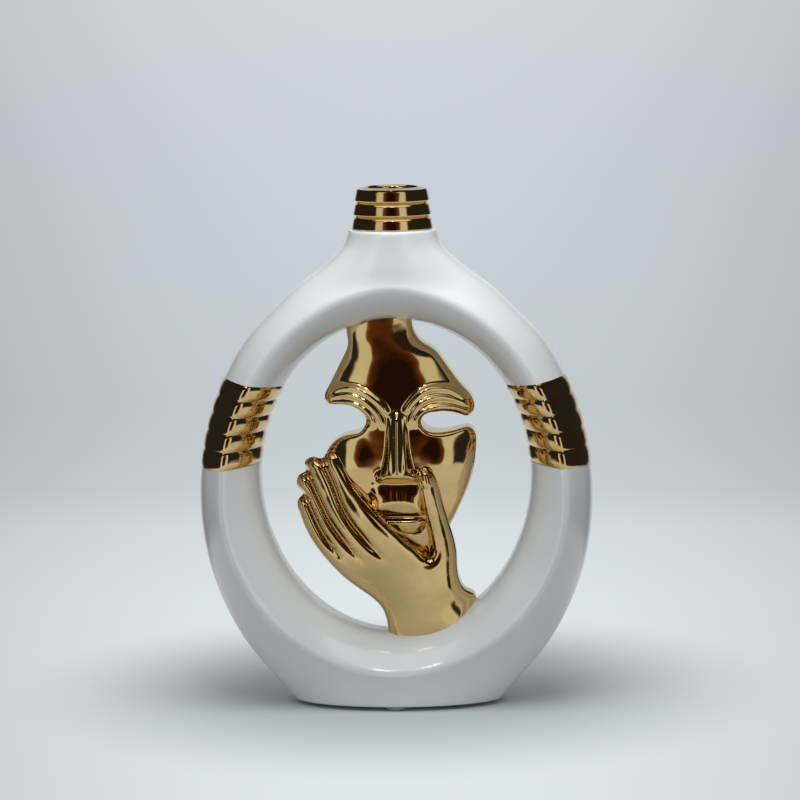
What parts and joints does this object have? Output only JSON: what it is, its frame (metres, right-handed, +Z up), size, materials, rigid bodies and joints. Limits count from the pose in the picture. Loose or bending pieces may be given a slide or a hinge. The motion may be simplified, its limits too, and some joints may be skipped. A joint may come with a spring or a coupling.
{
  "type": "ring vase with face mask",
  "caption": "Hollow ceramic ring vase: white glaze, gold ribbed bands and neck, with a gold mask held by a gold hand in the ring.",
  "frame": {"origin": "on the table, under the middle of the foot", "axes": "+X to the viewer's right, +Y to the back, +Z up; the mask looks along -Y"},
  "size_m": [0.22, 0.0724, 0.29],
  "materials": {
    "white_glaze": "glossy white glaze with a soft pearl sheen",
    "gold_lustre": "mirror-bright fired gold lustre over glaze",
    "clear_pad": "clear soft polyurethane"
  },
  "bodies": {
    "root": {"lower_ring": "white_glaze", "upper_arch": "white_glaze", "left_band": "gold_lustre", "right_band": "gold_lustre", "neck_collar": "gold_lustre", "face_mask": "gold_lustre", "hand": "gold_lustre", "foot_pad_front": "clear_pad", "foot_pad_left": "clear_pad", "foot_pad_right": "clear_pad"}
  },
  "joints": []
}
